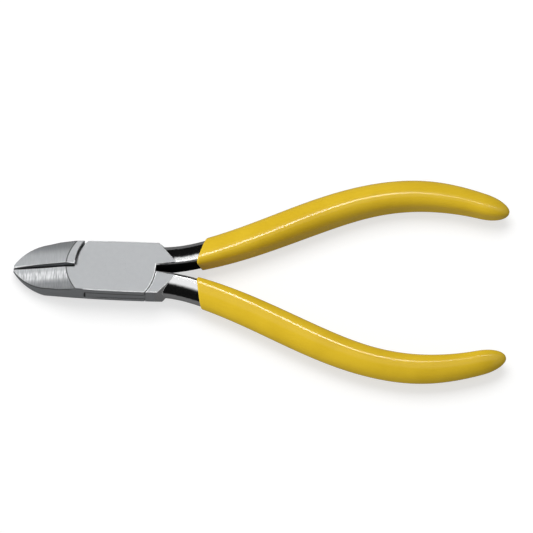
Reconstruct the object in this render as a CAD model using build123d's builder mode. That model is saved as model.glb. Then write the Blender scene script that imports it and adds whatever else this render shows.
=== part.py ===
"""Small box-joint side cutters (sprue nippers): two forgings that cross in a box joint,
the flush rivet they turn on, and a dipped plastic grip on each handle.

Frame, in millimetres: the origin lies on the pivot axis, on the rear cheek face.
+X runs from the pivot to the handle ends, +Y to the upper handle, +Z out of the
front (flush) cheek.  The two halves are shown closed.
"""
from build123d import *
from math import atan, cos, sin, sqrt
import os

os.makedirs("parts", exist_ok=True)

# ------------------------------------------------------------ driving dimensions
# Box joint.
head_thickness = 6.8
rear_cheek = 1.4
front_cheek = 2.6
rivet_diameter = 5.0
running_gap = 0.03              # between sliding faces and round the rivet
parting_gap = 0.03              # left between the two cutting edges when closed
cheek_root_radius = 9.65        # round ends of the cheeks, beside the handle
cheek_jaw_radius = 9.4          # and beside the jaw
slot_radius = 9.8               # round ends of the slot between the cheeks
tongue_radius = 9.4
tongue_half_width = 6.25
jaw_shoulder_radius = 9.95      # tongue half, where its jaw grows to full thickness
root_shoulder_radius = 9.85     # tongue half, where its handle grows to full thickness
edge_break = 0.14               # small chamfer on the head's outline

# Plan of the head's upper half, points (x, y).
tip_x = -25.0
side_start = (-20.0, 5.7)
side_middle = (-2.0, 6.42)
root_corner = (11.5, 6.4)
root_edge = ((9.75, 1.05), (14.2, 1.65), (15.2, 2.1))   # faces the other handle
nose_corner = (-16.35, 6.0)
nose_belly = (-21.3, 4.3)
nose_end_half_width = 0.75
nose_draft = 5.0                # degrees, the jaws' outer walls lean in towards the front

# Faces of the jaws.
crest_slope = 0.34              # fall of the jaws' front face towards the tip
crest_start_x = -12.0
crown_radius = 24.0             # the jaws' front face is crowned across its width
relief_start_x = -16.6          # the rear rim rises from here to the tip
relief_rise = 1.6
edge_root_height = 4.6          # cutting edge above the rear face, where the groove ends
edge_tip_height = 1.85
groove_end_x = -9.9
groove_root_half_width = 0.4   # on the front face
groove_tip_half_width = 0.26
groove_chamfer = 0.2

# Hollow-ground bevels behind the jaws: x, half width and height of the rim.
bevel_root_x = -11.5
bevel_rims = ((bevel_root_x, 5.6, -0.05), (-18.0, 4.9, 0.05), (tip_x, 0.45, relief_rise))
bevel_hollow = 0.55
bevel_land = 0.08               # flat left on each cutting edge
bevel_inner_bend = 2.2          # rounded corners of the bevels' root walls
bevel_outer_bend = 1.0
bevel_wall_end = 5.62

# Slanting end of the head's front face, from the side to the parting line.
front_end_corner = (10.3, 6.42)
front_end_point = (14.2, 2.1)
front_end_lean = 0.32           # how far the end face leans out per mm of depth

# Centre line of the upper handle in plan; the lower handle is its mirror image.
handle_points = (
    (8, 3.6), (14, 3.8), (20, 5.05), (34, 10.05), (50, 17.0),
    (62, 21.05), (74, 22.6), (84, 21.6), (95.3, 18.6),
)
# Share of the centre line, then width, depth and inner corners' radius there.
shank_sections = ((0.0, 5.8, 6.7, 0.8), (0.06, 5.6, 6.7, 0.8), (0.11, 5.6, 6.4, 0.8))
grip_sections = (
    (0.11, 6.6, 7.1, 1.4), (0.20, 7.0, 7.4, 1.9), (0.33, 7.45, 7.7, 2.5), (0.48, 7.6, 7.75, 2.9),
    (0.64, 7.2, 7.5, 2.8), (0.80, 6.75, 7.0, 2.4), (0.90, 5.95, 6.4, 2.0), (0.96, 4.7, 5.3, 1.5),
    (0.99, 2.7, 3.4, 0.9), (0.998, 1.2, 1.6, 0.4),
)
grip_wall = 0.5
mouth_point = (20.9, 5.0)       # the grips' cut mouths
mouth_slope = -0.28

# --------------------------------------------------------------- derived values
mid_height = head_thickness / 2
slot_bottom = rear_cheek
slot_top = head_thickness - front_cheek
crest_angle = atan(crest_slope)
relief_slope = relief_rise / (relief_start_x - tip_x)
past = 4.0                      # how far cutters reach beyond the material
far = 140.0                     # longer than the whole tool


def cutting_edge_height(x):
    """Height of the cutting edge above the rear face, a straight line to the tip."""
    share = (groove_end_x - x) / (groove_end_x - tip_x)
    return edge_root_height + share * (edge_tip_height - edge_root_height)


def front_height(x):
    """Height of the front face on the parting line, flat and then sloping."""
    return head_thickness - crest_slope * max(0.0, crest_start_x - x)


# ---------------------------------------------------------------------- handles
with BuildLine(Plane.XY.offset(mid_height)) as handle_line:
    Spline(*handle_points)


def handle_section(share, width, depth, corner):
    """Section across the handle's centre line, facing the handle's end: flat towards the
    other handle, and half an ellipse on the outside."""
    along = handle_line.line % share
    centre = handle_line.line @ share
    across = Plane(origin=centre, x_dir=(-along.Y, along.X, 0), z_dir=along)
    inner = -width / 2
    bend = inner + corner
    with BuildSketch(across) as section:
        with BuildLine():
            Line((inner, corner - depth / 2), (inner, depth / 2 - corner))
            CenterArc((bend, depth / 2 - corner), corner, 90, 90)
            CenterArc((bend, corner - depth / 2), corner, 180, 90)
            EllipticalCenterArc((bend, 0), width - corner, depth / 2, -90, arc_size=180)
        make_face()
    return section.sketch


# The forging inside the grip is thinner than the grip by the plastic's wall.
tang_sections = shank_sections + tuple(
    (share, width - 2 * grip_wall, depth - 2 * grip_wall, corner - grip_wall)
    for share, width, depth, corner in grip_sections[1:-1]
)
with BuildPart() as tang:
    loft([handle_section(*section) for section in tang_sections])

# Near the head the handle stays between the two cheek faces.
with BuildPart() as handle:
    add(tang.part)
    for height, side in ((head_thickness, Align.MIN), (0, Align.MAX)):
        with Locations((root_edge[0][0], 0, height)):
            Box(20, 40, past, align=(Align.CENTER, Align.CENTER, side), mode=Mode.SUBTRACT)


# ------------------------------------------------------------------- head blank
# Upper half of the closed head as one block, before the two halves are cut apart.
with BuildPart() as head_block:
    with BuildSketch():
        with BuildLine():
            Polyline((tip_x - past, 0), (tip_x - past, side_start[1] - 0.5), side_start)
            ThreePointArc(side_start, side_middle, root_corner)
            Polyline(root_corner, *reversed(root_edge))
            Polyline(root_edge[0], (root_edge[0][0], 0), (tip_x - past, 0))
        make_face()
    extrude(amount=head_thickness)
    flat_faces = head_block.faces().filter_by(Axis.Z)
    outline = [edge for face in flat_faces for edge in face.edges()
               if edge.center().Y > edge_break and tip_x < edge.center().X < root_corner[0] - 1]
    chamfer(outline, edge_break)

# Outer wall of the jaw, leaning in towards the front face.
with BuildPart() as nose:
    with BuildSketch():
        with BuildLine():
            Polyline((tip_x, nose_end_half_width), (tip_x, -past), (20, -past), (20, 12),
                     (-8, 7.6), nose_corner)
            ThreePointArc(nose_corner, nose_belly, (tip_x, nose_end_half_width))
        make_face()
    extrude(amount=head_thickness, taper=nose_draft)

# Slanting end of the head's front face, where it drops to the round handle root.
end_corner = Vector(*front_end_corner, head_thickness)
end_along = (Vector(*front_end_point, head_thickness) - end_corner).normalized()
end_plane = Plane(origin=end_corner, x_dir=(-end_along.Y, end_along.X, 0), z_dir=end_along)
with BuildPart() as end_cut:
    with BuildSketch(end_plane.offset(-past)):
        with BuildLine():
            Polyline(
                (-front_end_lean * past, past), (0, 0),
                (front_end_lean * head_thickness, -head_thickness),
                (3 * past, -head_thickness), (3 * past, past), close=True,
            )
        make_face()
    extrude(amount=5 * past)

# Everything in front of the crowned front face of the jaws.
crest_plane = Plane(
    origin=(crest_start_x, 0, head_thickness),
    x_dir=(0, 1, 0),
    z_dir=(cos(crest_angle), 0, sin(crest_angle)),
)
with BuildPart() as crown_cut:
    with BuildSketch(crest_plane.offset(-20)):
        with Locations((0, past)):
            Rectangle(6 * past, 4 * past)
        with Locations((0, -crown_radius)):
            Circle(crown_radius, mode=Mode.SUBTRACT)
    extrude(amount=26)

# The rear rim rises towards the tip.
with BuildPart() as rear_relief:
    with BuildSketch(Plane.XZ):
        with BuildLine():
            Polyline(
                (relief_start_x + past, -relief_slope * past),
                (tip_x - past, relief_rise + relief_slope * past),
                (tip_x - past, -past), (relief_start_x + past, -past), close=True,
            )
        make_face()
    extrude(amount=3 * past, both=True)


# Groove between the jaws' front edges: steep facets up from the cutting edges, then a
# 45 degree break along each front edge.
def groove_section(x, bottom, half_width):
    """V on the parting plane, from its bottom up past the front face."""
    top = front_height(x) + past
    over = (top - bottom) / (front_height(x) - bottom) * half_width
    with BuildSketch(Plane.YZ.offset(x)) as section:
        with BuildLine():
            Polyline((-over, top), (0, bottom), (over, top), close=True)
        make_face()
    return section.sketch


def break_section(x, half_width):
    """45 degree V as wide as the groove and its two edge breaks."""
    width = half_width + groove_chamfer
    return groove_section(x, front_height(x) - width, width)


groove_stations = (
    (groove_end_x, groove_root_half_width),
    (crest_start_x, groove_root_half_width),
    (tip_x, groove_tip_half_width),
)
with BuildPart() as groove_cut:
    root, crest_start, tip = groove_stations
    loft([groove_section(x, cutting_edge_height(x), width) for x, width in (root, tip)],
         ruled=True)
    for near, off in ((root, crest_start), (crest_start, tip)):
        loft([break_section(*near), break_section(*off)], ruled=True)


def bevel_section(x, rim_half_width, rim_height):
    """Hollow below the jaws: an arc from each rim up to the cutting edge."""
    rise = cutting_edge_height(x) - bevel_land - rim_height
    chord = sqrt(rim_half_width**2 + rise**2)
    hollow = bevel_hollow * chord / bevel_root_chord
    middle_y = rim_half_width / 2 + hollow * rise / chord
    middle_z = rim_height + rise / 2 + hollow * rim_half_width / chord
    with BuildSketch(Plane.YZ.offset(x)) as section:
        with BuildLine():
            for side in (-1, 1):
                rim = (side * rim_half_width, rim_height)
                ThreePointArc((0, rim_height + rise), (side * middle_y, middle_z), rim)
                Line(rim, (rim[0], -past))
            Line((-rim_half_width, -past), (rim_half_width, -past))
        make_face()
    return section.sketch


# Both bevels at once, inside a plan whose root walls have rounded corners.
bevel_root_chord = sqrt(bevel_rims[0][1] ** 2 + cutting_edge_height(bevel_root_x) ** 2)
inner_bend_x = bevel_root_x - bevel_inner_bend
outer_bend_x = bevel_root_x - bevel_outer_bend
outer_bend_y = bevel_wall_end - bevel_outer_bend
with BuildPart() as bevel_cut:
    loft([bevel_section(*rim) for rim in bevel_rims])
    with BuildSketch(Plane.XY.offset(-past)):
        with BuildLine():
            Line((tip_x - past, 0), (inner_bend_x, 0))
            CenterArc((inner_bend_x, bevel_inner_bend), bevel_inner_bend, -90, 90)
            Line((bevel_root_x, bevel_inner_bend), (bevel_root_x, outer_bend_y))
            CenterArc((outer_bend_x, outer_bend_y), bevel_outer_bend, 0, 90)
            Polyline((outer_bend_x, bevel_wall_end), (tip_x - past, bevel_wall_end),
                     (tip_x - past, 0))
        make_face()
        mirror(about=Plane.XZ)
    extrude(amount=3 * past, mode=Mode.INTERSECT)

# The whole closed tool as one forging.
with BuildPart() as blank:
    add(head_block.part)
    add(nose.part, mode=Mode.INTERSECT)
    add(end_cut.part, mode=Mode.SUBTRACT)
    add(handle.part)
    mirror(about=Plane.XZ)
    for cutter in (crown_cut, rear_relief, groove_cut, bevel_cut):
        add(cutter.part, mode=Mode.SUBTRACT)


# -------------------------------------------------------------- the two forgings
upper_jaw, lower_jaw = (-1, 1), (-1, -1)
upper_handle, lower_handle = (1, 1), (1, -1)
start_angles = {upper_handle: 0, upper_jaw: 90, lower_jaw: 180, lower_handle: 270}


def region(radius, quadrant, gap):
    """One quadrant of the plan outside a circle round the pivot, reaching over the parting
    line by a gap."""
    side_x, side_y = quadrant
    with BuildSketch() as area:
        with Locations((side_x * far / 2, side_y * (far / 2 - gap))):
            Rectangle(far, far)
        Circle(radius, mode=Mode.SUBTRACT)
    return area.sketch


def ring_break(radius, quadrant, outward):
    """Cutter that breaks both edges of a round end over one quadrant."""
    lip = radius + outward * edge_break
    beyond = radius - outward * edge_break
    with BuildPart() as ring:
        with BuildSketch(Plane.XZ.rotated((0, 0, start_angles[quadrant]))):
            for height, up in ((head_thickness, 1), (0, -1)):
                foot = height - up * edge_break
                with BuildLine():
                    Polyline((lip, height), (radius, foot), (beyond, foot),
                             (beyond, height + up), (lip, height + up), close=True)
                make_face()
        revolve(axis=Axis.Z, revolution_arc=90)
    return ring.part


def shoulder_discs():
    """Plan of the room for the cheeks: a half disc on the jaw side, a smaller one behind."""
    with BuildSketch() as discs:
        for radius, side in ((jaw_shoulder_radius, -1), (root_shoulder_radius, 1)):
            with BuildLine():
                CenterArc((0, 0), radius, -90, side * 180)
                Line((0, -radius), (0, radius))
            make_face()
    return discs.sketch


with BuildPart() as box_half:
    add(blank.part)
    # Room for the tongue half's jaw and handle beyond the cheeks' round ends.
    extrude(region(cheek_jaw_radius, upper_jaw, parting_gap / 2), amount=head_thickness,
            mode=Mode.SUBTRACT)
    extrude(region(cheek_root_radius, lower_handle, 0), amount=head_thickness + past, both=True,
            mode=Mode.SUBTRACT)
    add(ring_break(cheek_jaw_radius, upper_jaw, -1), mode=Mode.SUBTRACT)
    add(ring_break(cheek_root_radius, lower_handle, -1), mode=Mode.SUBTRACT)
    # The slot for the tongue.
    with BuildSketch(Plane.XY.offset(slot_bottom)):
        Circle(slot_radius)
    extrude(amount=slot_top - slot_bottom, mode=Mode.SUBTRACT)
    Hole(rivet_diameter / 2)

with BuildPart() as tongue_half:
    add(blank.part)
    # Beside the tongue the half starts at its shoulders, outside the cheeks.
    for low, high in ((0, slot_bottom + running_gap), (slot_top - running_gap, head_thickness)):
        with BuildSketch(Plane.XY.offset(low)):
            add(shoulder_discs())
        extrude(amount=high - low, mode=Mode.SUBTRACT)
    add(ring_break(jaw_shoulder_radius, upper_jaw, 1), mode=Mode.SUBTRACT)
    add(ring_break(root_shoulder_radius, lower_handle, 1), mode=Mode.SUBTRACT)
    extrude(region(tongue_radius, lower_jaw, parting_gap / 2), amount=head_thickness,
            mode=Mode.SUBTRACT)
    extrude(region(tongue_radius, upper_handle, 0), amount=head_thickness + past, both=True,
            mode=Mode.SUBTRACT)
    # The tongue is narrower than the cheeks, so the slot shows at the head's sides.
    with BuildSketch():
        Circle(slot_radius)
        Rectangle(far, 2 * tongue_half_width, mode=Mode.SUBTRACT)
    extrude(amount=head_thickness, mode=Mode.SUBTRACT)
    Hole(rivet_diameter / 2 + running_gap)

with BuildPart() as joint_rivet:
    with BuildSketch():
        Circle(rivet_diameter / 2)
    extrude(amount=head_thickness)

# ------------------------------------------------------------------------ grips
mouth_plane = Plane(origin=(*mouth_point, mid_height), z_dir=(1, mouth_slope, 0))
with BuildPart() as upper_grip:
    loft([handle_section(*section) for section in grip_sections])
    split(bisect_by=mouth_plane, keep=Keep.TOP)
    add(tang.part, mode=Mode.SUBTRACT)

with BuildPart() as lower_grip:
    mirror(upper_grip.part, about=Plane.XZ)

# ------------------------------------------------------------------------ export
box_half.part.label = "box_half"
tongue_half.part.label = "tongue_half"
joint_rivet.part.label = "joint_rivet"
upper_grip.part.label = "upper_grip"
lower_grip.part.label = "lower_grip"
for piece in (box_half, tongue_half, joint_rivet, upper_grip, lower_grip):
    export_step(piece.part, f"parts/{piece.part.label}.step")
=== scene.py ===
"""Sprue nippers: looks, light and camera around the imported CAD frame.

Lengths are in millimetres in the CAD's frame unless a comment says metres.  The pivot axis
is Z through the origin, the jaws point along -X and the ground front face of the head looks
along +Z.
"""
import math
from types import SimpleNamespace

import bpy
import numpy as np
from mathutils import Matrix, Vector


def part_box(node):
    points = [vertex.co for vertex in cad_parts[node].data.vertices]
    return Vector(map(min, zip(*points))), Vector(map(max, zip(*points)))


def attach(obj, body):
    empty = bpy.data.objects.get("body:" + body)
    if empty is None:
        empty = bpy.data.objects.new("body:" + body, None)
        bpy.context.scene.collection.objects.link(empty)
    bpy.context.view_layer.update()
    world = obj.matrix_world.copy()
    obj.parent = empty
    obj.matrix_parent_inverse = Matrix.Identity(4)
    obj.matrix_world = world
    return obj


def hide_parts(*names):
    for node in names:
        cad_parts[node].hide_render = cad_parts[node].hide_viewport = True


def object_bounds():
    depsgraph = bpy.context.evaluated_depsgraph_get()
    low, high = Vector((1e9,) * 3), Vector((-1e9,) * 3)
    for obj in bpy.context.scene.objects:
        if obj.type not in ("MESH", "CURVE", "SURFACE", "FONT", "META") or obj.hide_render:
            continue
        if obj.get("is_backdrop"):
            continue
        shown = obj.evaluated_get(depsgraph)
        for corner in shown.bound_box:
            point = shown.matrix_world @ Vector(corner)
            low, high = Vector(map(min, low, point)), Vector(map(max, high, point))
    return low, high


MM = 0.001                  # metres in a millimetre
STEEL_PIECES = ("box_half", "tongue_half", "joint_rivet")

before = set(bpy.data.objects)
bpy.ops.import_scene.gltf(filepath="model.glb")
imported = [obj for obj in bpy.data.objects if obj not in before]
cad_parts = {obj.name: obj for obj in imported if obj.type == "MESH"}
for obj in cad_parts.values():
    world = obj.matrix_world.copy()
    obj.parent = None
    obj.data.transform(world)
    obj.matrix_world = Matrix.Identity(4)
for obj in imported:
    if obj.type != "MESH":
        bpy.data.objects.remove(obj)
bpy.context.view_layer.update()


# ---------------------------------------------------------------- node helpers
def new_material(name):
    """An empty node material, its node tree and its output node."""
    material = bpy.data.materials.new(name)
    material.use_nodes = True
    tree = material.node_tree
    tree.nodes.clear()
    output = tree.nodes.new("ShaderNodeOutputMaterial")
    return material, tree, output


def feed(tree, target, value):
    """Puts a number, a colour or another node's output into an input."""
    if isinstance(value, bpy.types.NodeSocket):
        tree.links.new(value, target)
    else:
        target.default_value = value


def maths(tree, operation, *values):
    node = tree.nodes.new("ShaderNodeMath")
    node.operation = operation
    for socket, value in zip(node.inputs, values):
        feed(tree, socket, value)
    return node.outputs[0]


def product(tree, *values):
    result = values[0]
    for value in values[1:]:
        result = maths(tree, "MULTIPLY", result, value)
    return result


def outside(tree, mask):
    """The mask turned round: 1 where it is 0."""
    return maths(tree, "SUBTRACT", 1.0, mask)


def distance_from(tree, value, middle):
    return maths(tree, "ABSOLUTE", maths(tree, "SUBTRACT", value, middle))


def ramp(tree, value, start, end, rising):
    """Smooth between start and end: from 0 to 1 when rising, from 1 to 0 when not."""
    node = tree.nodes.new("ShaderNodeMapRange")
    node.interpolation_type = "SMOOTHSTEP"
    feed(tree, node.inputs["Value"], value)
    feed(tree, node.inputs["From Min"], start)
    feed(tree, node.inputs["From Max"], end)
    feed(tree, node.inputs["To Min"], float(not rising))
    feed(tree, node.inputs["To Max"], float(rising))
    return node.outputs["Result"]


def above(tree, value, edge, softness):
    """A mask, 1 above the edge and 0 below it, blurred by the softness to either side."""
    return ramp(tree, value, edge - softness, edge + softness, True)


def below(tree, value, edge, softness):
    """A mask, 1 below the edge and 0 above it, blurred by the softness to either side."""
    return ramp(tree, value, edge - softness, edge + softness, False)


def between(tree, value, low, high, softness):
    return product(tree, above(tree, value, low, softness), below(tree, value, high, softness))


def mix_value(tree, share, first, second):
    node = tree.nodes.new("ShaderNodeMix")
    feed(tree, node.inputs[0], share)
    feed(tree, node.inputs[2], first)
    feed(tree, node.inputs[3], second)
    return node.outputs[0]


def mix_colour(tree, share, first, second):
    node = tree.nodes.new("ShaderNodeMix")
    node.data_type = "RGBA"
    feed(tree, node.inputs[0], share)
    feed(tree, node.inputs[6], first)
    feed(tree, node.inputs[7], second)
    return node.outputs[2]


def mix_normal(tree, share, first, second):
    node = tree.nodes.new("ShaderNodeMix")
    node.data_type = "VECTOR"
    feed(tree, node.inputs[0], share)
    feed(tree, node.inputs[4], first)
    feed(tree, node.inputs[5], second)
    return node.outputs[1]


def grey(level, blue=0.0):
    """A neutral steel colour, a little bluer where asked."""
    return (level * (1 - blue), level, level * (1 + blue), 1)


def noise(tree, vector, scale, detail, roughness=0.5):
    """Noise between 0 and 1 over a vector; scale counts features per unit of it."""
    node = tree.nodes.new("ShaderNodeTexNoise")
    tree.links.new(vector, node.inputs["Vector"])
    node.inputs["Scale"].default_value = scale
    node.inputs["Detail"].default_value = detail
    node.inputs["Roughness"].default_value = roughness
    return node.outputs["Fac"]


def stretched(tree, vector, factors):
    """The vector with each axis multiplied; under 1 draws noise out into streaks."""
    node = tree.nodes.new("ShaderNodeVectorMath")
    node.operation = "MULTIPLY"
    tree.links.new(vector, node.inputs[0])
    node.inputs[1].default_value = factors
    return node.outputs[0]


def place_in_mm(tree):
    """The shaded point in its object's own axes, in millimetres."""
    coordinates = tree.nodes.new("ShaderNodeTexCoord")
    return stretched(tree, coordinates.outputs["Object"], (1 / MM, 1 / MM, 1 / MM))


def split_axes(tree, vector):
    node = tree.nodes.new("ShaderNodeSeparateXYZ")
    tree.links.new(vector, node.inputs[0])
    return node.outputs[0], node.outputs[1], node.outputs[2]


def bump(tree, height, strength, depth, normal=None):
    """A normal tilted by a height; depth is how deep full strength goes, in millimetres."""
    node = tree.nodes.new("ShaderNodeBump")
    feed(tree, node.inputs["Strength"], strength)
    node.inputs["Distance"].default_value = depth * MM
    tree.links.new(height, node.inputs["Height"])
    if normal is not None:
        tree.links.new(normal, node.inputs["Normal"])
    return node.outputs["Normal"]


# ------------------------------------------------------------------------ steel
# Where the CAD's ground surfaces start and end.
FRONT_FACE = 6.8            # height of the head's flat front face
HEAD_END = 16.1             # x where that face ends behind, on the parting line
HEAD_END_SLANT = 0.903      # how far its end draws back per mm off the parting line
ROOT_START = 9.8            # x from which what is not flat belongs to the handles' roots
JAW_START = -9.2            # x where the slot ends and the jaws start
SLOPE_START = -12.0         # x where the jaws' fronts start to slope, on the parting line
SLOPE_BEND = 0.0648         # how far that start draws back per square mm off the line
SLOPE_FALL = 0.34           # how the fronts fall per mm towards the tips
CROWN_FALL = 0.0208         # how they fall per square mm off the parting line
BEVEL_START = -11.5         # x where the hollow bevels behind the jaws start
GROOVE_REACH = 1.25         # how far the painted highlight by the groove reaches off the parting line
RIVET_REACH = 2.8           # a radius just outside the rivet
SLOT_END = (-9.75, -7.65)   # x range round the slot's end, where the edges get neither painted highlight nor painted shade
JOINT_HEIGHT = 4.4          # where the joint's line shows in the side walls
JOINT_RANGE = (-7.4, 7.1)   # x range of that line
EDGE_ROUNDING = 0.16        # radius of the softened edges
SHADING_SAMPLES = 6         # rays for the softened edges and for the shelter
SHELTER_DEPTH = 0.9         # how near a wall has to be to shelter a point


def steel_point(tree):
    """Where the shaded point is and which way its face looks."""
    place = place_in_mm(tree)
    x, y, z = split_axes(tree, place)
    facing = tree.nodes.new("ShaderNodeTexCoord").outputs["Normal"]
    facing_x, facing_y, facing_z = split_axes(tree, facing)
    return SimpleNamespace(
        place=place, x=x, y=y, z=z, facing_x=facing_x, facing_y=facing_y, facing_z=facing_z,
        off_line=maths(tree, "ABSOLUTE", y),
        y_squared=product(tree, y, y),
    )


def steel_regions(tree, point):
    """Masks of the parts of the steel that are finished alike.

    jaw_face is the ground front of the jaws, bevel the hollow behind them, side the side
    walls, polished the handles' roots, and the last mask the roots' sides that face each
    other, which get a painted dark reflection.
    The cheeks are what is left.
    """
    steepness = maths(tree, "ABSOLUTE", point.facing_z)
    not_flat = outside(tree, above(tree, steepness, 0.98, 0.01))
    head_end = maths(tree, "SUBTRACT", HEAD_END, product(tree, HEAD_END_SLANT, point.off_line))
    behind_head = above(tree, maths(tree, "SUBTRACT", point.x, head_end), 0.0, 0.05)
    root = product(tree, above(tree, point.x, ROOT_START, 0.4), not_flat)
    polished = maths(tree, "MAXIMUM", behind_head, root)
    in_jaw = below(tree, point.x, JAW_START, 0.2)
    jaw_face = product(
        tree, in_jaw,
        below(tree, point.facing_x, -0.2, 0.05),
        above(tree, point.facing_z, 0.7, 0.1),
    )
    bevel = product(
        tree, not_flat,
        below(tree, point.x, BEVEL_START, 0.1),
        below(tree, point.facing_z, -0.2, 0.1),
    )
    side = product(tree, below(tree, steepness, 0.3, 0.1), outside(tree, polished))
    inward = maths(tree, "MULTIPLY", maths(tree, "SIGN", point.y), point.facing_y)
    # The roots' sides that face each other, for the painted dark reflection.
    painted_dark_root_gap = product(tree, below(tree, inward, -0.6, 0.2), above(tree, point.x, 9.5, 0.5))
    return SimpleNamespace(
        polished=polished, in_jaw=in_jaw, jaw_face=jaw_face, bevel=bevel, side=side,
        painted_dark_root_gap=painted_dark_root_gap,
    )


def steel_marks(tree, place):
    """Fine marks: streaks across the jaws, long grain on the sides, mottled cheeks."""
    return SimpleNamespace(
        streaks=noise(tree, stretched(tree, place, (1.0, 0.1, 0.1)), 4.2, 2.0, 0.6),
        long_grain=noise(tree, stretched(tree, place, (0.06, 1.0, 1.0)), 5.2, 2.0, 0.6),
        mottle=noise(tree, place, 0.9, 3.0),
        frost=noise(tree, place, 9.0, 1.0),
    )


def jaw_streaks_and_painted_light(tree, point, streaks):
    """Ground jaw fronts: grinding streaks, painted sheen on the lower jaw, painted shade
    outside.
    """
    lower = below(tree, point.y, 0.0, 0.2)
    # Painted sheen: the streaks show stronger on the lower jaw, which faces the light better.
    strength = mix_value(tree, lower, 0.3, 1.0)
    streaks_with_painted_sheen = product(tree, above(tree, streaks, 0.5, 0.2), strength)
    colour = mix_colour(tree, streaks_with_painted_sheen, grey(0.38, 0.03), grey(0.55, 0.02))
    # Painted sheen: a bright band of streaks across the middle of the lower jaw.
    middle = between(tree, point.y, -3.4, -1.5, 0.5)
    colour = mix_colour(tree, product(tree, middle, streaks_with_painted_sheen), colour, grey(0.8, 0.01))
    # Painted shade: both jaws darken towards their outer edges, where the fronts curve away
    # from the light.
    lower_outside = below(tree, point.y, -3.9, 0.7)
    upper_outside = above(tree, point.y, 3.9, 1.3)
    painted_shade_band = maths(tree, "MAXIMUM", lower_outside, upper_outside)
    return mix_colour(tree, product(tree, painted_shade_band, 0.55), colour, grey(0.13, 0.05))


def steel_edges_and_painted_light(tree, point, region):
    """Painted highlight and shade on edges, painted shade in recesses, and the soft edges'
    normal.
    """
    rounded = tree.nodes.new("ShaderNodeBevel")
    rounded.samples = SHADING_SAMPLES
    rounded.inputs["Radius"].default_value = EDGE_ROUNDING * MM
    geometry = tree.nodes.new("ShaderNodeNewGeometry")
    x_squared = product(tree, point.x, point.x)
    radius = maths(tree, "SQRT", maths(tree, "ADD", x_squared, point.y_squared))
    off_rivet = above(tree, radius, RIVET_REACH, 0.1)
    normal = mix_normal(tree, off_rivet, geometry.outputs["Normal"], rounded.outputs["Normal"])

    # An edge is where the rounded normal leaves the face's own, or a chamfer of the head.
    agreement = tree.nodes.new("ShaderNodeVectorMath")
    agreement.operation = "DOT_PRODUCT"
    tree.links.new(rounded.outputs["Normal"], agreement.inputs[0])
    tree.links.new(geometry.outputs["True Normal"], agreement.inputs[1])
    edge = product(tree, off_rivet, below(tree, agreement.outputs["Value"], 0.9625, 0.0325))
    chamfer = product(
        tree,
        between(tree, point.facing_z, 0.55, 0.85, 0.05),
        below(tree, point.x, 10.5, 0.5),
    )
    _, _, upward = split_axes(tree, rounded.outputs["Normal"])
    slot_start, slot_finish = SLOT_END
    by_slot = product(
        tree,
        below(tree, point.x, slot_finish, 0.25),
        above(tree, point.x, slot_start, 0.15),
    )
    # Upward edges and chamfers away from the slot's end: where highlight and shade are painted.
    edge_to_paint = product(
        tree, maths(tree, "MAXIMUM", edge, chamfer),
        above(tree, upward, 0.35, 0.15),
        outside(tree, by_slot),
    )
    # On the jaws the painted highlight stays on the upper edge of the groove, and the
    # outer edges get painted shade instead.
    by_groove = product(
        tree, above(tree, point.y, 0.0, 0.05), below(tree, point.y, GROOVE_REACH, 0.15)
    )
    # Painted shade: a dark line along the jaws' outer edges.
    painted_shade_edge = product(
        tree, edge_to_paint, region.in_jaw,
        above(tree, point.off_line, GROOVE_REACH, 0.15),
        below(tree, point.x, -11.0, 1.0),
    )
    shelter = tree.nodes.new("ShaderNodeAmbientOcclusion")
    shelter.samples = SHADING_SAMPLES
    shelter.inputs["Distance"].default_value = SHELTER_DEPTH * MM
    openness = shelter.outputs["AO"]
    # Painted highlight: a bright line along upward edges in the open.
    painted_highlight_edge = product(
        tree, edge_to_paint, mix_value(tree, region.in_jaw, 1.0, by_groove),
        above(tree, openness, 0.675, 0.125),
    )
    # Painted shade: near black wherever a wall is close, in gaps and recesses.
    painted_recess_shade = below(tree, openness, 0.35, 0.2)
    return SimpleNamespace(
        normal=normal, painted_highlight_edge=painted_highlight_edge, painted_shade_edge=painted_shade_edge, painted_recess_shade=painted_recess_shade
    )


def slope_line(tree, point):
    """A fine ground line where each jaw's slope starts."""
    start = maths(tree, "ADD", SLOPE_START, product(tree, SLOPE_BEND, point.y_squared))
    return product(
        tree,
        below(tree, distance_from(tree, point.x, start), 0.15, 0.05),
        above(tree, point.z, FRONT_FACE - 0.3, 0.1),
        above(tree, point.facing_z, 0.8, 0.1),
    )


def painted_shade_jaw_rim(tree, point, region):
    """Painted shade: a dark band on the jaws' side walls just below the front face."""
    ahead = maths(tree, "MAXIMUM", 0.0, maths(tree, "SUBTRACT", SLOPE_START, point.x))
    slope = product(tree, SLOPE_FALL, ahead)
    crown = product(tree, CROWN_FALL, point.y_squared)
    front = maths(tree, "SUBTRACT", FRONT_FACE, maths(tree, "ADD", slope, crown))
    return product(
        tree, region.side,
        below(tree, point.x, -10.75, 0.75),
        below(tree, maths(tree, "SUBTRACT", front, point.z), 0.5, 0.2),
    )


def joint_line(tree, point, region):
    """The joint in the side walls: a fine line along the front cheek's lower edge."""
    return product(
        tree, region.side,
        below(tree, distance_from(tree, point.z, JOINT_HEIGHT), 0.28, 0.08),
        between(tree, point.x, *JOINT_RANGE, 0.1),
    )


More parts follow.
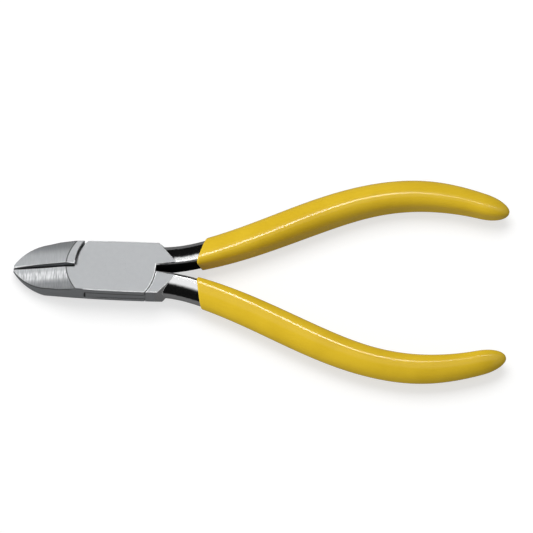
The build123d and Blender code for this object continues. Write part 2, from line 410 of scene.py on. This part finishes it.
def steel():
    """Tool steel: satin ground cheeks, streaked jaws, mirror bevels, polished roots.

    Which finish a point gets follows from where it is and which way it faces. Painted
    highlights and painted shade are laid over the finishes.
    """
    material, tree, output = new_material("tool_steel")
    point = steel_point(tree)
    region = steel_regions(tree, point)
    marks = steel_marks(tree, point.place)
    # Soft edges' normal, with masks of painted highlight and painted shade.
    edges_and_painted_light = steel_edges_and_painted_light(tree, point, region)

    cheek_colour = mix_colour(tree, marks.mottle, grey(0.3, 0.025), grey(0.33, 0.025))
    side_colour = mix_colour(tree, marks.long_grain, grey(0.5, 0.04), grey(0.58, 0.04))
    # Each layer's mask, strength and colour; a later layer covers the earlier ones.
    layers = (
        (region.jaw_face, 1.0, jaw_streaks_and_painted_light(tree, point, marks.streaks)),
        (region.side, 1.0, side_colour),
        (region.polished, 1.0, grey(0.8, 0.005)),
        (region.bevel, 1.0, grey(0.6)),
        (region.painted_dark_root_gap, 1.0, grey(0.01)),     # painted dark reflection: the roots' facing sides are near black
        # Painted shade on the jaws' outer edges, a painted highlight on open upward edges,
        # painted shade in recesses.
        (edges_and_painted_light.painted_shade_edge, 0.8, grey(0.12)),
        (edges_and_painted_light.painted_highlight_edge, 0.65, grey(0.86, 0.01)),
        (edges_and_painted_light.painted_recess_shade, 1.0, grey(0.02)),
        (slope_line(tree, point), 0.9, grey(0.06)),
        # Painted shade under the jaws' front face.
        (painted_shade_jaw_rim(tree, point, region), 0.8, grey(0.12)),
        (joint_line(tree, point, region), 0.85, grey(0.08)),
    )
    colour = cheek_colour
    for mask, strength, layer_colour in layers:
        colour = mix_colour(tree, product(tree, mask, strength), colour, layer_colour)

    # Each finish's mask, roughness and strength of relief; the cheeks' come first.
    roughness, relief = 0.4, 0.12
    finishes = (
        (region.jaw_face, 0.36, 0.3),
        (region.side, 0.38, 0.12),
        (region.polished, 0.12, 0.0),
        (region.bevel, 0.07, 0.0),
    )
    for mask, finish_roughness, finish_relief in finishes:
        roughness = mix_value(tree, mask, roughness, finish_roughness)
        relief = mix_value(tree, mask, relief, finish_relief)
    height = mix_value(tree, region.jaw_face, marks.frost, marks.streaks)
    height = mix_value(tree, region.side, height, marks.long_grain)
    # The edges are rounded; where the highlight is painted on them the normal also tilts
    # upwards, so some part of them always mirrors the light overhead.
    upwards = (0.0, 0.0, 1.0)
    normal = mix_normal(tree, product(tree, edges_and_painted_light.painted_highlight_edge, 0.8), edges_and_painted_light.normal, upwards)
    normal = bump(tree, height, relief, 0.02, normal)

    # Ground faces scatter part of the light, mirror ones none.
    mirror = maths(tree, "MAXIMUM", region.polished, region.bevel)
    # The painted dark root gap gets no real reflection, so it stays near black.
    outside_painted_dark_gap = outside(tree, region.painted_dark_root_gap)
    metallic = product(tree, mix_value(tree, mirror, 0.65, 1.0), outside_painted_dark_gap)
    shader = tree.nodes.new("ShaderNodeBsdfPrincipled")
    feed(tree, shader.inputs["Base Color"], colour)
    feed(tree, shader.inputs["Metallic"], metallic)
    feed(tree, shader.inputs["Specular IOR Level"], product(tree, 0.5, outside_painted_dark_gap))
    feed(tree, shader.inputs["Roughness"], roughness)
    feed(tree, shader.inputs["Normal"], normal)
    tree.links.new(shader.outputs[0], output.inputs["Surface"])
    return material


# ------------------------------------------------------------------------ grips
# Centre line of the upper handle in plan; the lower one is its mirror.
HANDLE_POINTS = (
    (8, 3.6), (14, 3.8), (20, 5.05), (34, 10.05), (50, 17.0),
    (62, 21.05), (74, 22.6), (84, 21.6), (95.3, 18.6),
)
# Share of the centre line, then the grip's width, depth and inner front corner's radius.
GRIP_SECTIONS = (
    (0.0, 6.3, 7.0, 1.3), (0.11, 6.6, 7.1, 1.4), (0.20, 7.0, 7.4, 1.9),
    (0.33, 7.45, 7.7, 2.5), (0.48, 7.6, 7.75, 2.9), (0.64, 7.2, 7.5, 2.8),
    (0.80, 6.75, 7.0, 2.4), (0.90, 5.95, 6.4, 2.0), (1.0, 5.2, 5.8, 1.6),
)
BACK_CORNER = 1.2           # radius of the inner back corner
# Piece, its body, its side of the parting line, the foremost x of its mouth (on the inner
# front ridge) and how far the mouth falls back per mm of width.
GRIPS = (
    ("upper_grip", "box_half_body", 1, 19.6, 0.27),
    ("lower_grip", "tongue_half_body", -1, 19.85, 0.08),
)
MOUTH_DEPTH_LEAN = 0.21     # how far a mouth falls back per mm of depth
GRIP_WALL = 0.5
LIP_RADIUS = 0.3
SOCKET_GAP = 3.0            # about what is left of the grip beyond its socket
END_START = 0.925           # share of the centre line where the rounded end begins
END_POWER = 2.2             # 2 would round the end like an ellipse; more is fuller
LINE_SAMPLES = 600          # how finely the centre line and the skin are divided
FLAT_POINTS = 9
CORNER_STEPS = 10
OUTER_STEPS = 24
SOCKET_RINGS = 60
LIP_RINGS = 7
SKIN_RINGS = 240
SKIN_EASING = 0.9           # draws the skin's rings closer together towards the end
LAST_RING = 0.9995          # just short of the end, where the skin would shrink to a point


def dipped_plastic():
    """Glossy yellow PVC from a dip bath: even, with slow waves and a faint orange peel."""
    material, tree, output = new_material("dipped_plastic")
    place = place_in_mm(tree)
    cloud = noise(tree, place, 0.11, 3.0)
    waves = noise(tree, place, 0.26, 1.0)
    peel = noise(tree, place, 1.9, 2.0)
    deep, light = (0.80, 0.53, 0.025, 1), (0.86, 0.58, 0.031, 1)
    colour = mix_colour(tree, above(tree, cloud, 0.5, 0.2), deep, light)
    normal = bump(tree, waves, 0.045, 0.3)
    normal = bump(tree, peel, 0.08, 0.05, normal)
    shader = tree.nodes.new("ShaderNodeBsdfPrincipled")
    shader.inputs["Specular IOR Level"].default_value = 0.3
    feed(tree, shader.inputs["Base Color"], colour)
    feed(tree, shader.inputs["Roughness"], mix_value(tree, peel, 0.08, 0.13))
    feed(tree, shader.inputs["Normal"], normal)
    tree.links.new(shader.outputs[0], output.inputs["Surface"])
    return material


class NaturalSpline:
    """Natural cubic spline through values at knots."""

    def __init__(self, knots, values):
        self.knots = np.array(knots, float)
        self.values = np.array(values, float)
        count = len(knots)
        steps = np.diff(self.knots)
        system = np.eye(count)
        right = np.zeros_like(self.values)
        for i in range(1, count - 1):
            system[i, i - 1:i + 2] = (steps[i - 1], 2 * (steps[i - 1] + steps[i]), steps[i])
            after = (self.values[i + 1] - self.values[i]) / steps[i]
            before = (self.values[i] - self.values[i - 1]) / steps[i - 1]
            right[i] = 6 * (after - before)
        self.bends = np.linalg.solve(system, right)

    def at(self, knot):
        i = int(np.clip(np.searchsorted(self.knots, knot) - 1, 0, len(self.knots) - 2))
        step = self.knots[i + 1] - self.knots[i]
        ahead = (knot - self.knots[i]) / step
        behind = 1 - ahead
        bend = (behind**3 - behind) * self.bends[i] + (ahead**3 - ahead) * self.bends[i + 1]
        return behind * self.values[i] + ahead * self.values[i + 1] + bend * step**2 / 6


class HandleLine:
    """The handle's centre line, measured by share of its length."""

    def __init__(self, points):
        points = np.array(points, float)
        chords = np.linalg.norm(np.diff(points, axis=0), axis=1)
        self.curve = NaturalSpline(np.concatenate(([0], np.cumsum(chords))), points)
        self.knots = np.linspace(0, chords.sum(), LINE_SAMPLES)
        self.samples = np.array([self.curve.at(knot) for knot in self.knots])
        runs = np.linalg.norm(np.diff(self.samples, axis=0), axis=1)
        self.reach = np.concatenate(([0], np.cumsum(runs)))
        self.length = self.reach[-1]

    def share_at_x(self, x):
        return np.interp(x, self.samples[:, 0], self.reach) / self.length

    def at(self, share):
        """Place and direction in plan."""
        knot = np.interp(share * self.length, self.reach, self.knots)
        step = 0.01
        place = self.curve.at(knot)
        direction = self.curve.at(knot + step) - self.curve.at(knot - step)
        return place, direction / np.linalg.norm(direction)


def quarter_arc(centre, radii, start, steps):
    """Points along a quarter of an ellipse, anticlockwise, without the first one."""
    turns = np.linspace(start, start + math.pi / 2, steps + 1)[1:]
    return [
        (centre[0] + radii[0] * math.cos(turn), centre[1] + radii[1] * math.sin(turn))
        for turn in turns
    ]


def section_outline(width, depth, front):
    """Points (outward, up) round the D-shaped section, anticlockwise from the inner flat.

    The inner corners are quarters of circles and the outer side is two quarters of ellipses.
    """
    back = BACK_CORNER
    inner, bottom, top = -width / 2, -depth / 2, depth / 2
    right_angle = math.pi / 2
    points = [(inner, up) for up in np.linspace(top - front, bottom + back, FLAT_POINTS)]
    points += quarter_arc(
        (inner + back, bottom + back), (back, back), 2 * right_angle, CORNER_STEPS
    )
    points += quarter_arc((inner + back, 0), (width - back, top), -right_angle, OUTER_STEPS)
    points += quarter_arc((inner + front, 0), (width - front, top), 0, OUTER_STEPS)
    points += quarter_arc(
        (inner + front, top - front), (front, front), right_angle, CORNER_STEPS
    )[:-1]
    return points


def end_rounding(share):
    """1 along the grip, falling like a quarter of an ellipse to 0 at its end."""
    ahead = np.clip((share - END_START) / (1 - END_START), 0, 1)
    return math.sqrt(max(0.0, 1 - ahead**END_POWER))


class Grip:
    """A dipped grip: outer skin, slanting mouth with a rounded lip, and a socket."""

    def __init__(self, side, mouth_x, mouth_width_lean):
        self.side = side
        self.mouth_x = mouth_x
        self.mouth_width_lean = mouth_width_lean
        self.line = HandleLine(HANDLE_POINTS)
        shares, *sizes = zip(*GRIP_SECTIONS)
        self.widths, self.depths, self.fronts = (NaturalSpline(shares, size) for size in sizes)
        self.mouth_share = self.line.share_at_x(mouth_x)
        self.mouth_width = self.widths.at(self.mouth_share)
        self.mouth_depth = self.depths.at(self.mouth_share)
        self.mouth_place, self.mouth_direction = self.line.at(self.mouth_share)
        low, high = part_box("joint_rivet")
        self.middle_height = (low.z + high.z) / 2 / MM

    def mouth_fall(self, outward, up):
        """How far behind the mouth's share of the line its rim is at a point of the section."""
        x = self.mouth_x + self.mouth_width_lean * (outward + self.mouth_width / 2)
        x += MOUTH_DEPTH_LEAN * (self.mouth_depth / 2 - up)
        along_x, along_y = self.mouth_direction
        return (x - self.mouth_place[0] + along_y * outward) / along_x

    def ring(self, ahead, inset, pull_back=0.0):
        """One ring, ahead 0 at the mouth and 1 at the end, inset from the skin."""
        base = self.mouth_share + ahead * (1 - self.mouth_share)
        base_width, base_depth = self.widths.at(base), self.depths.at(base)
        points = []
        for outward, up in section_outline(base_width, base_depth, self.fronts.at(base)):
            fall = (self.mouth_fall(outward, up) + pull_back) / self.line.length
            share = min(base + fall * (1 - ahead), 1.0)
            shrink = end_rounding(share)
            half_width = max(0.0, shrink * self.widths.at(share) / 2 - inset)
            half_depth = max(0.0, shrink * self.depths.at(share) / 2 - inset)
            out = outward * half_width / (base_width / 2)
            place, direction = self.line.at(share)
            x = place[0] - direction[1] * out
            y = place[1] + direction[0] * out
            z = self.middle_height + up * half_depth / (base_depth / 2)
            points.append((x, self.side * y, z))
        return points

    def rings(self):
        """Rings from the socket's end out to the mouth, round its lip and back to the end."""
        rings = []
        for ahead in np.linspace(1 - SOCKET_GAP / self.line.length, 0, SOCKET_RINGS):
            rings.append(self.ring(ahead, GRIP_WALL))
        rings.append(self.ring(0, (GRIP_WALL + LIP_RADIUS) / 2))
        for turn in np.linspace(0, math.pi / 2, LIP_RINGS):
            inset = LIP_RADIUS * (1 - math.sin(turn))
            rings.append(self.ring(0, inset, LIP_RADIUS * (1 - math.cos(turn))))
        for step in range(1, SKIN_RINGS):
            ahead = math.sin(step / SKIN_RINGS * math.pi / 2) ** SKIN_EASING
            rings.append(self.ring(min(ahead, LAST_RING), 0.0, LIP_RADIUS))
        return rings


def skin_mesh(name, rings, flipped):
    """A closed mesh through rings of points; flipped turns its faces round."""
    around = len(rings[0])
    points = [Vector(point) * MM for ring in rings for point in ring]
    faces = []
    for row in range(len(rings) - 1):
        near, far = row * around, (row + 1) * around
        for i in range(around):
            beside = (i + 1) % around
            faces.append((near + i, near + beside, far + beside, far + i))
    faces.append(tuple(reversed(range(around))))
    faces.append(tuple(range(len(points) - around, len(points))))
    if flipped:
        faces = [face[::-1] for face in faces]
    mesh = bpy.data.meshes.new(name)
    mesh.from_pydata(points, [], faces)
    mesh.shade_smooth()
    return mesh


def build_grip(name, body, side, mouth_x, mouth_width_lean, material):
    """The skin that stands for a grip of the CAD, riding on its body."""
    rings = Grip(side, mouth_x, mouth_width_lean).rings()
    mesh = skin_mesh(name + "_skin", rings, side < 0)
    mesh.materials.append(material)
    skin = bpy.data.objects.new(name + "_skin", mesh)
    bpy.context.scene.collection.objects.link(skin)
    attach(skin, body)
    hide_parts(name)
    return skin


def paint(node, material):
    """Gives a CAD node one material."""
    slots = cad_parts[node].data.materials
    slots.clear()
    slots.append(material)


# ------------------------------------------------------------- floor, light, camera
# Metres, watts and degrees from here on.
FLOOR_HALF = 3.0
# The floor's own glow: what the camera, shiny faces and dull faces get from it.
GLOW_SEEN = 0.62
GLOW_MIRRORED = 0.11
GLOW_SPILT = 0.24
BACKDROP = 0.95             # level of the background that the camera sees
# Levels of what shiny faces mirror: the softbox overhead, the strip in it and the flags.
SOFTBOX = 1.3
STRIP = 10.0
FLAGS = 0.006
ENDS_SHARE = 0.5            # how bright the tent's two ends are beside the softbox
CAMERA_DISTANCE = 1.6
CAMERA_ELEVATION = math.radians(70)
CAMERA_ROLL = math.radians(2.1)
FRAME_WIDTH = 0.1295        # what the picture's width spans at the tool
PIVOT_LEFT_OF_CENTRE = 0.03665
PIVOT_BELOW_CENTRE = 0.00104


def ray_kind(tree, kind):
    return tree.nodes.new("ShaderNodeLightPath").outputs[kind]


def floor_plane():
    """A pale floor that the tool lies on; in reflections it is dark, like a black card."""
    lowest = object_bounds()[0][2]
    half = FLOOR_HALF
    plan = ((-half, -half), (half, -half), (half, half), (-half, half))
    mesh = bpy.data.meshes.new("floor")
    mesh.from_pydata([(x, y, lowest) for x, y in plan], [], [(0, 1, 2, 3)])
    plane = bpy.data.objects.new("floor", mesh)
    bpy.context.scene.collection.objects.link(plane)
    material, tree, output = new_material("floor_paper")
    paper = tree.nodes.new("ShaderNodeBsdfPrincipled")
    paper.inputs["Roughness"].default_value = 0.9
    paper.inputs["Specular IOR Level"].default_value = 0.0
    seen = ray_kind(tree, "Is Camera Ray")
    mirrored = ray_kind(tree, "Is Glossy Ray")
    glow = mix_value(tree, mirrored, GLOW_SPILT, GLOW_MIRRORED)
    glow = mix_value(tree, seen, glow, GLOW_SEEN)
    feed(tree, paper.inputs["Base Color"], mix_colour(tree, seen, grey(0.05), grey(0.42)))
    feed(tree, paper.inputs["Emission Color"], grey(1.0))
    feed(tree, paper.inputs["Emission Strength"], glow)
    tree.links.new(paper.outputs[0], output.inputs["Surface"])
    mesh.materials.append(material)
    plane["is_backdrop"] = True
    return plane


def studio_world():
    """A light tent: what polished steel mirrors is a wide softbox overhead, with a bright
    strip in it, between black flags; the rest of the light is nearly even."""
    world = bpy.data.worlds.new("studio")
    world.use_nodes = True
    tree = world.node_tree
    tree.nodes.clear()
    output = tree.nodes.new("ShaderNodeOutputWorld")
    background = tree.nodes.new("ShaderNodeBackground")
    tree.links.new(background.outputs[0], output.inputs["Surface"])
    sky = tree.nodes.new("ShaderNodeTexCoord").outputs["Generated"]
    x, y, z = split_axes(tree, sky)
    sideways = maths(tree, "ABSOLUTE", x)
    # Degrees from straight up towards +Y, the far side of the tool.
    lean = maths(tree, "DEGREES", maths(tree, "ARCTAN2", y, z))

    overhead = product(
        tree, above(tree, lean, -17.0, 7.0), below(tree, lean, 35.0, 5.0),
        below(tree, sideways, 0.835, 0.085),
    )
    ahead_of_jaws = product(
        tree, below(tree, x, -0.375, 0.075), above(tree, x, -0.9, 0.05),
        above(tree, lean, -10.0, 12.0), below(tree, lean, 60.0, 20.0),
    )
    ends = product(tree, above(tree, sideways, 0.675, 0.125), ENDS_SHARE)
    softbox = maths(tree, "MAXIMUM", overhead, ahead_of_jaws)
    softbox = maths(tree, "MAXIMUM", softbox, ends)
    strip = product(
        tree, between(tree, lean, 17.75, 22.25, 0.75), below(tree, sideways, 0.5, 0.1)
    )
    mirrored = maths(tree, "ADD", product(tree, softbox, SOFTBOX), product(tree, strip, STRIP))
    mirrored = maths(tree, "ADD", mirrored, FLAGS)
    # The even light is a little stronger from the far side and from ahead of the jaws.
    ambient = mix_value(tree, above(tree, lean, 0.0, 60.0), 0.46, 0.5)
    ambient = product(tree, ambient, mix_value(tree, above(tree, x, 0.0, 0.9), 1.2, 0.8))
    level = mix_value(tree, ray_kind(tree, "Is Glossy Ray"), ambient, mirrored)
    level = mix_value(tree, ray_kind(tree, "Is Camera Ray"), level, BACKDROP)
    feed(tree, background.inputs["Strength"], level)
    bpy.context.scene.world = world


def area_light(name, place, size, power, lit, reflected):
    """A soft lamp aimed at the pivot that lights only the objects given.

    Shiny faces mirror it only if reflected.
    """
    light = bpy.data.lights.new(name, "AREA")
    light.shape = "RECTANGLE"
    light.size, light.size_y = size
    light.energy = power
    lamp = bpy.data.objects.new(name, light)
    lamp.visible_glossy = reflected
    receivers = bpy.data.collections.new("lit_by_" + name)
    for receiver in lit:
        receivers.objects.link(receiver)
    lamp.light_linking.receiver_collection = receivers
    lamp.location = place
    lamp.rotation_euler = (-Vector(place)).to_track_quat("-Z", "Y").to_euler()
    bpy.context.scene.collection.objects.link(lamp)


def camera():
    """Long lens, looking down on the front face, turned a little in its own plane."""
    forward = Vector((0, math.cos(CAMERA_ELEVATION), -math.sin(CAMERA_ELEVATION)))
    level_right = Vector((1, 0, 0))
    level_up = Vector((0, math.sin(CAMERA_ELEVATION), math.cos(CAMERA_ELEVATION)))
    right = math.cos(CAMERA_ROLL) * level_right + math.sin(CAMERA_ROLL) * level_up
    up = math.cos(CAMERA_ROLL) * level_up - math.sin(CAMERA_ROLL) * level_right
    pivot = Vector((0, 0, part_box("joint_rivet")[1].z / 2))
    aim = pivot + PIVOT_LEFT_OF_CENTRE * right + PIVOT_BELOW_CENTRE * up
    data = bpy.data.cameras.new("camera")
    data.lens = data.sensor_width * CAMERA_DISTANCE / FRAME_WIDTH
    data.clip_end = 20.0
    view = bpy.data.objects.new("camera", data)
    bpy.context.scene.collection.objects.link(view)
    turn = Matrix((right, up, -forward)).transposed().to_4x4()
    view.matrix_world = Matrix.Translation(aim - CAMERA_DISTANCE * forward) @ turn
    bpy.context.scene.camera = view


steel_finish = steel()
grip_finish = dipped_plastic()
for piece in STEEL_PIECES:
    paint(piece, steel_finish)
grips = [build_grip(*grip, grip_finish) for grip in GRIPS]

floor = floor_plane()
studio_world()
steel_and_floor = [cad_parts[piece] for piece in STEEL_PIECES] + [floor]
# One lamp for the steel and the floor, then three for the grips: a high one, the one that
# draws the highlight along them, and a low one from the jaws' side.
for name, place, size, power, lit, reflected in (
    ("key", (-0.1, 0.45, 0.9), (0.8, 0.6), 8, steel_and_floor, False),
    ("grip_light", (-0.6, 0.3, 0.75), (0.6, 0.4), 3.7, grips, False),
    ("grip_strip", (-0.06, 0.5, 1.37), (0.42, 0.26), 4.5, grips, True),
    ("grip_side", (-1.1, -0.5, 0.25), (0.6, 0.4), 4.6, grips, False),
):
    area_light(name, place, size, power, lit, reflected)
camera()
bpy.context.scene.view_settings.view_transform = "Standard"
